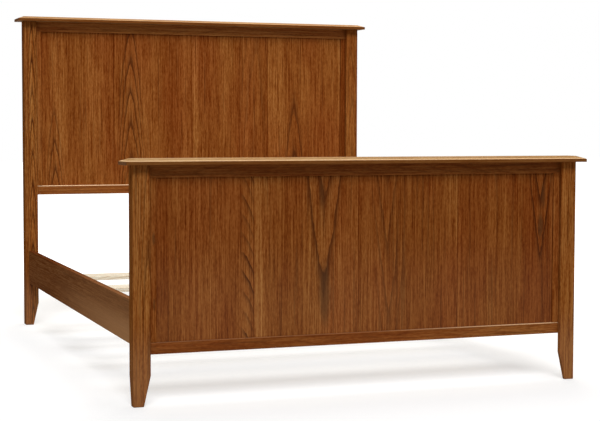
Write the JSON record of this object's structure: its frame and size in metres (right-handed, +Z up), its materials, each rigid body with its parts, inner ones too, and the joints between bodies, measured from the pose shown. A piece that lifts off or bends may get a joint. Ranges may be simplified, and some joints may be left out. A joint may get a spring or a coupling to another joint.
{
  "type": "panel bed",
  "caption": "Knock-down wooden bed frame: panelled headboard and footboard on L-shaped posts under bevelled caps, hooked side rails, cleats and cross slats.",
  "frame": {"origin": "on the floor, under the middle of the bed's overall box", "axes": "+Z up, +Y from the foot to the head along the bed, +X across the bed to the right of someone who looks from the foot to the head"},
  "size_m": [1.726, 2.236, 1.438],
  "materials": {
    "stained_oak": "medium brown stained oak under a satin clear coat",
    "pale_pine": "planed pine, bare",
    "dowel_beech": "turned beech, bare",
    "zinc_steel": "zinc plated steel, satin"
  },
  "bodies": {
    "root": {"cap_dowels": "dowel_beech", "cleat_screws": "zinc_steel", "foot_bottom_rail": "stained_oak", "foot_cap": "stained_oak", "foot_left_hook_plate": "zinc_steel", "foot_left_post_face": "stained_oak", "foot_left_post_side": "stained_oak", "foot_left_slotted_plate": "zinc_steel", "foot_left_stile": "stained_oak", "foot_panel_board_1": "stained_oak", "foot_panel_board_2": "stained_oak", "foot_panel_board_3": "stained_oak", "foot_panel_board_4": "stained_oak", "foot_right_hook_plate": "zinc_steel", "foot_right_post_face": "stained_oak", "foot_right_post_side": "stained_oak", "foot_right_slotted_plate": "zinc_steel", "foot_right_stile": "stained_oak", "foot_top_rail": "stained_oak", "frame_screws": "zinc_steel", "head_bottom_rail": "stained_oak", "head_cap": "stained_oak", "head_left_hook_plate": "zinc_steel", "head_left_post_face": "stained_oak", "head_left_post_side": "stained_oak", "head_left_slotted_plate": "zinc_steel", "head_left_stile": "stained_oak", "head_panel_board_1": "stained_oak", "head_panel_board_2": "stained_oak", "head_panel_board_3": "stained_oak", "head_panel_board_4": "stained_oak", "head_right_hook_plate": "zinc_steel", "head_right_post_face": "stained_oak", "head_right_post_side": "stained_oak", "head_right_slotted_plate": "zinc_steel", "head_right_stile": "stained_oak", "head_top_rail": "stained_oak", "hook_plate_screws": "zinc_steel", "left_cleat": "pale_pine", "left_side_rail": "stained_oak", "right_cleat": "pale_pine", "right_side_rail": "stained_oak", "slat_1": "pale_pine", "slat_2": "pale_pine", "slat_3": "pale_pine", "slat_4": "pale_pine", "slat_screws": "zinc_steel", "slotted_plate_screws": "zinc_steel"}
  },
  "joints": []
}
